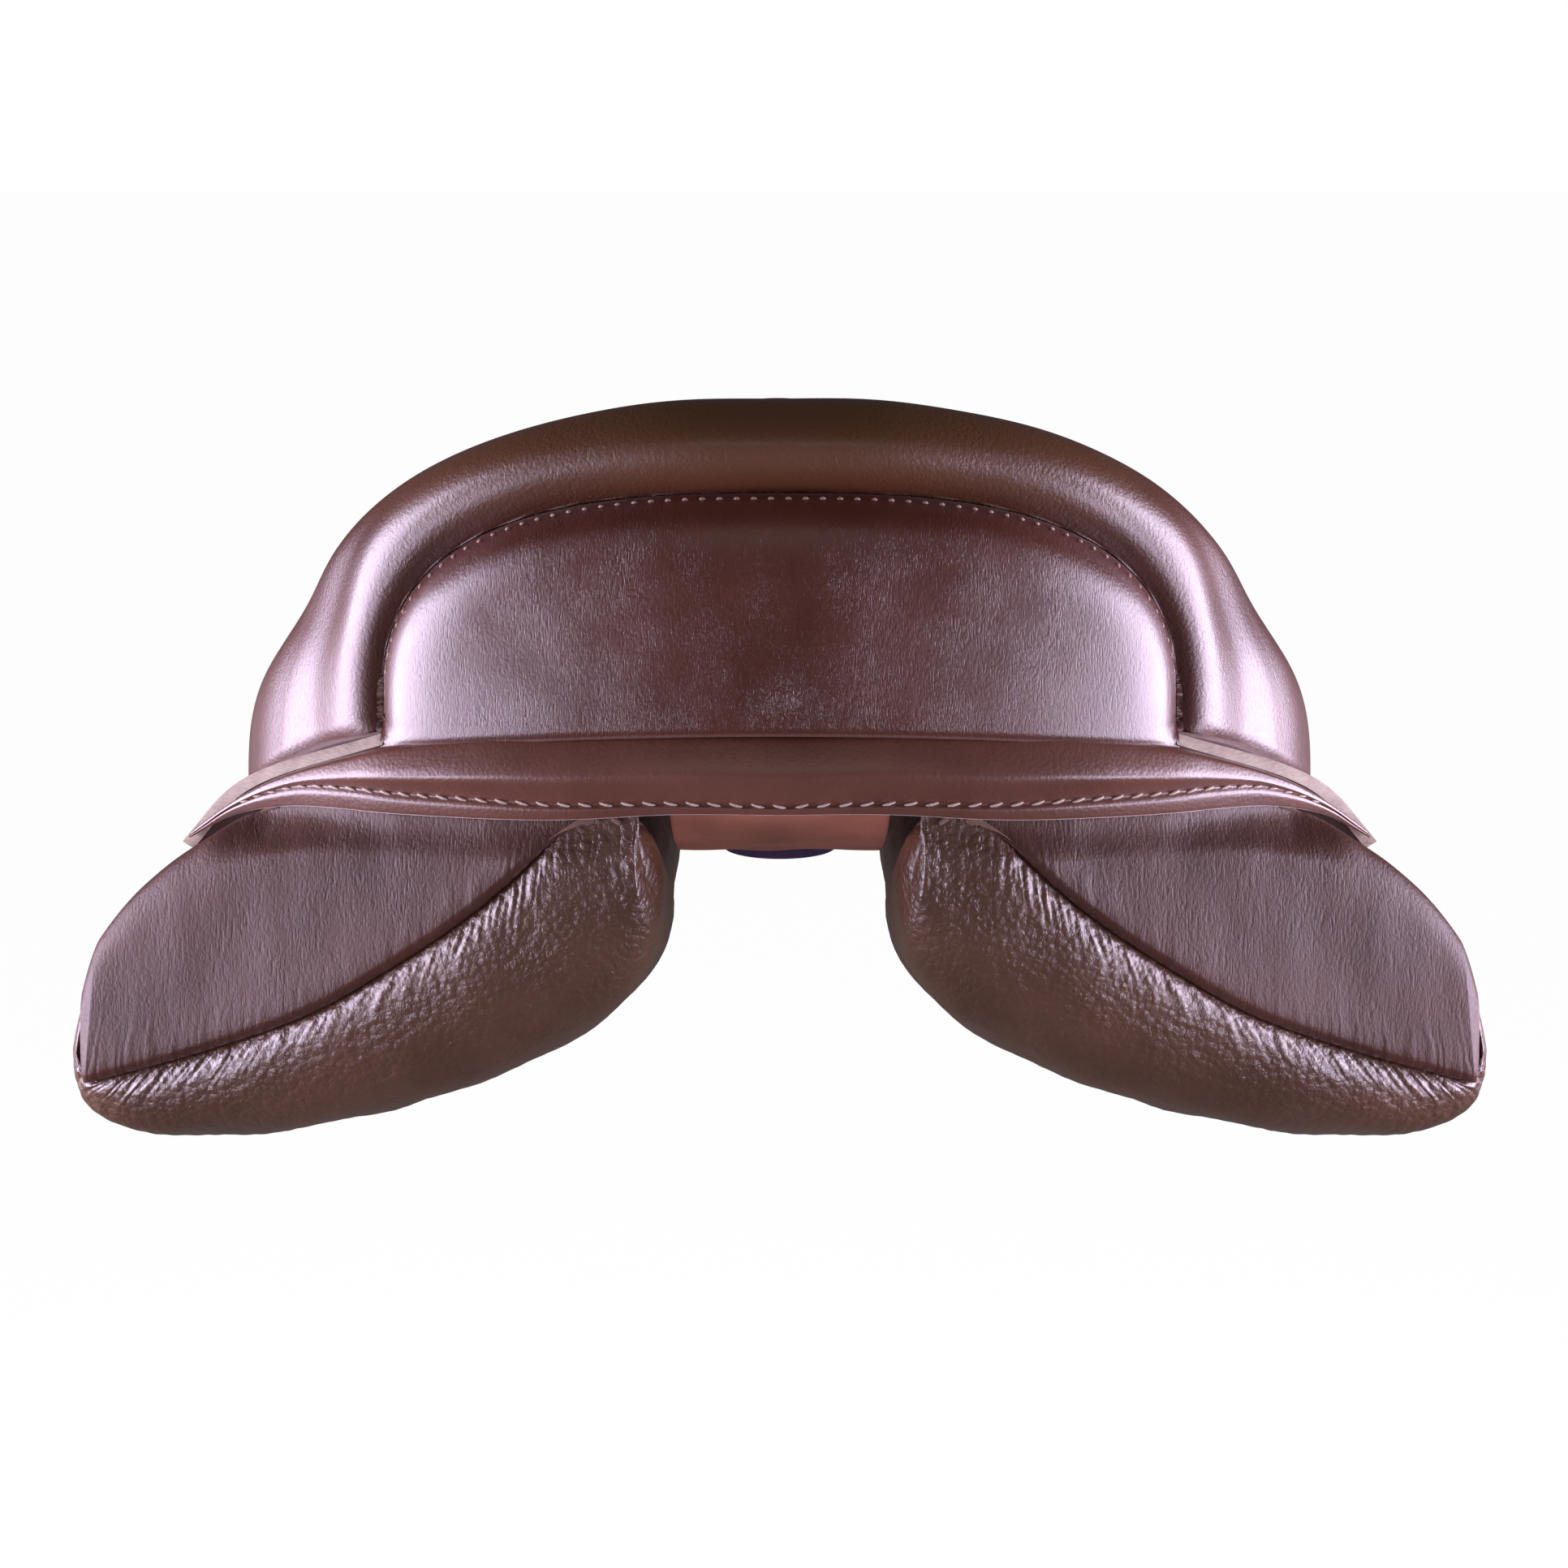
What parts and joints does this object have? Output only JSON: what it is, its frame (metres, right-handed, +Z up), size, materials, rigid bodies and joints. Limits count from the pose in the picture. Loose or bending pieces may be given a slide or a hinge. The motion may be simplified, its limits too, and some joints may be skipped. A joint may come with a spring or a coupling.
{
  "type": "close contact saddle",
  "caption": "English close contact saddle with a stitched cantle facing, rear band, winged stuffed panels, lifting flaps and skirts, stirrup bars and girth straps.",
  "frame": {"origin": "top of the horse's spine, midway along the saddle, in the channel between the panels", "axes": "+X to the horse's right, +Y forward to the pommel, +Z up"},
  "size_m": [0.4708, 0.4783, 0.3552],
  "materials": {
    "brown_leather": "smooth dark brown leather with a soft sheen",
    "under_leather": "plain brown leather",
    "tan_leather": "matt tan leather",
    "blue_leather": "dark blue leather",
    "seat_foam": "firm latex foam",
    "beech": "laminated beech",
    "steel": "forged and rolled steel",
    "brass": "polished brass",
    "web": "woven linen web"
  },
  "bodies": {
    "saddle": {"seat_cover": "brown_leather", "cantle_facing": "brown_leather", "rear_band": "brown_leather", "head_facing": "brown_leather", "pommel_facing": "brown_leather", "seat_welt_left": "brown_leather", "seat_welt_right": "brown_leather", "flap_head_left": "brown_leather", "flap_head_right": "brown_leather", "dee_chape_left": "brown_leather", "dee_chape_right": "brown_leather", "panel_left": "brown_leather", "panel_right": "brown_leather", "panel_gusset_left": "brown_leather", "panel_gusset_right": "brown_leather", "sweat_flap_left": "under_leather", "sweat_flap_right": "under_leather", "strap_keeper_left": "under_leather", "strap_keeper_right": "under_leather", "gullet_lining": "tan_leather", "lining_patch": "blue_leather", "seat_foam": "seat_foam", "tree_head": "beech", "tree_cantle": "beech", "tree_rail_left": "beech", "tree_rail_right": "beech", "gullet_plate": "steel", "head_plate": "steel", "spring_steel_left": "steel", "spring_steel_right": "steel", "stirrup_bar_left": "steel", "stirrup_bar_right": "steel", "catch_pin_left": "steel", "catch_pin_right": "steel", "pommel_nail_left": "brass", "pommel_nail_right": "brass", "seat_web": "web", "cross_web_rear": "web", "cross_web_front": "web"},
    "flap_left": {"flap_left": "brown_leather", "knee_block_left": "under_leather"},
    "skirt_left": {"skirt_left": "brown_leather"},
    "bar_catch_left": {"bar_catch_left": "steel"},
    "dee_ring_left": {"dee_ring_left": "brass"},
    "girth_strap_rear_left": {"girth_strap_rear_left": "under_leather"},
    "girth_strap_front_left": {"girth_strap_front_left": "under_leather"},
    "flap_right": {"flap_right": "brown_leather", "knee_block_right": "under_leather"},
    "skirt_right": {"skirt_right": "brown_leather"},
    "bar_catch_right": {"bar_catch_right": "steel"},
    "dee_ring_right": {"dee_ring_right": "brass"},
    "girth_strap_rear_right": {"girth_strap_rear_right": "under_leather"},
    "girth_strap_front_right": {"girth_strap_front_right": "under_leather"}
  },
  "joints": [
    {"name": "flap_left_lift", "type": "hinge", "parent": "saddle", "child": "flap_left", "pos_m": [-0.17589, -0.1301, 0.04225], "axis": [0.0972, 0.9869, -0.1285], "range_deg": [0, 75]},
    {"name": "skirt_left_lift", "type": "hinge", "parent": "saddle", "child": "skirt_left", "pos_m": [-0.1403, -0.045, 0.06], "axis": [0.3503, 0.9214, 0.1683], "range_deg": [0, 80]},
    {"name": "bar_catch_left_turn", "type": "hinge", "parent": "saddle", "child": "bar_catch_left", "pos_m": [-0.10481, 0.06129, 0.05855], "axis": [-0.9588, 0.284, 0], "range_deg": [0, 40]},
    {"name": "dee_ring_left_swing", "type": "hinge", "parent": "saddle", "child": "dee_ring_left", "pos_m": [-0.0735, 0.15, 0.0965], "axis": [0.2419, 0.9703, 0], "range_deg": [0, 110]},
    {"name": "girth_strap_rear_left_swing", "type": "hinge", "parent": "saddle", "child": "girth_strap_rear_left", "pos_m": [-0.15448, -0.00492, 0.02726], "axis": [-0.8531, 0.1491, 0.5], "range_deg": [-5, 5]},
    {"name": "girth_strap_front_left_swing", "type": "hinge", "parent": "saddle", "child": "girth_strap_front_left", "pos_m": [-0.14759, 0.03448, 0.02726], "axis": [-0.8531, 0.1491, 0.5], "range_deg": [-5, 5]},
    {"name": "flap_right_lift", "type": "hinge", "parent": "saddle", "child": "flap_right", "pos_m": [0.17589, -0.1301, 0.04225], "axis": [0.0972, -0.9869, 0.1285], "range_deg": [0, 75]},
    {"name": "skirt_right_lift", "type": "hinge", "parent": "saddle", "child": "skirt_right", "pos_m": [0.1403, -0.045, 0.06], "axis": [0.3503, -0.9214, -0.1683], "range_deg": [0, 80]},
    {"name": "bar_catch_right_turn", "type": "hinge", "parent": "saddle", "child": "bar_catch_right", "pos_m": [0.10481, 0.06129, 0.05855], "axis": [-0.9588, -0.284, 0], "range_deg": [0, 40]},
    {"name": "dee_ring_right_swing", "type": "hinge", "parent": "saddle", "child": "dee_ring_right", "pos_m": [0.0735, 0.15, 0.0965], "axis": [0.2419, -0.9703, 0], "range_deg": [0, 110]},
    {"name": "girth_strap_rear_right_swing", "type": "hinge", "parent": "saddle", "child": "girth_strap_rear_right", "pos_m": [0.15448, -0.00492, 0.02726], "axis": [0.8531, 0.1491, 0.5], "range_deg": [-5, 5]},
    {"name": "girth_strap_front_right_swing", "type": "hinge", "parent": "saddle", "child": "girth_strap_front_right", "pos_m": [0.14759, 0.03448, 0.02726], "axis": [0.8531, 0.1491, 0.5], "range_deg": [-5, 5]}
  ]
}
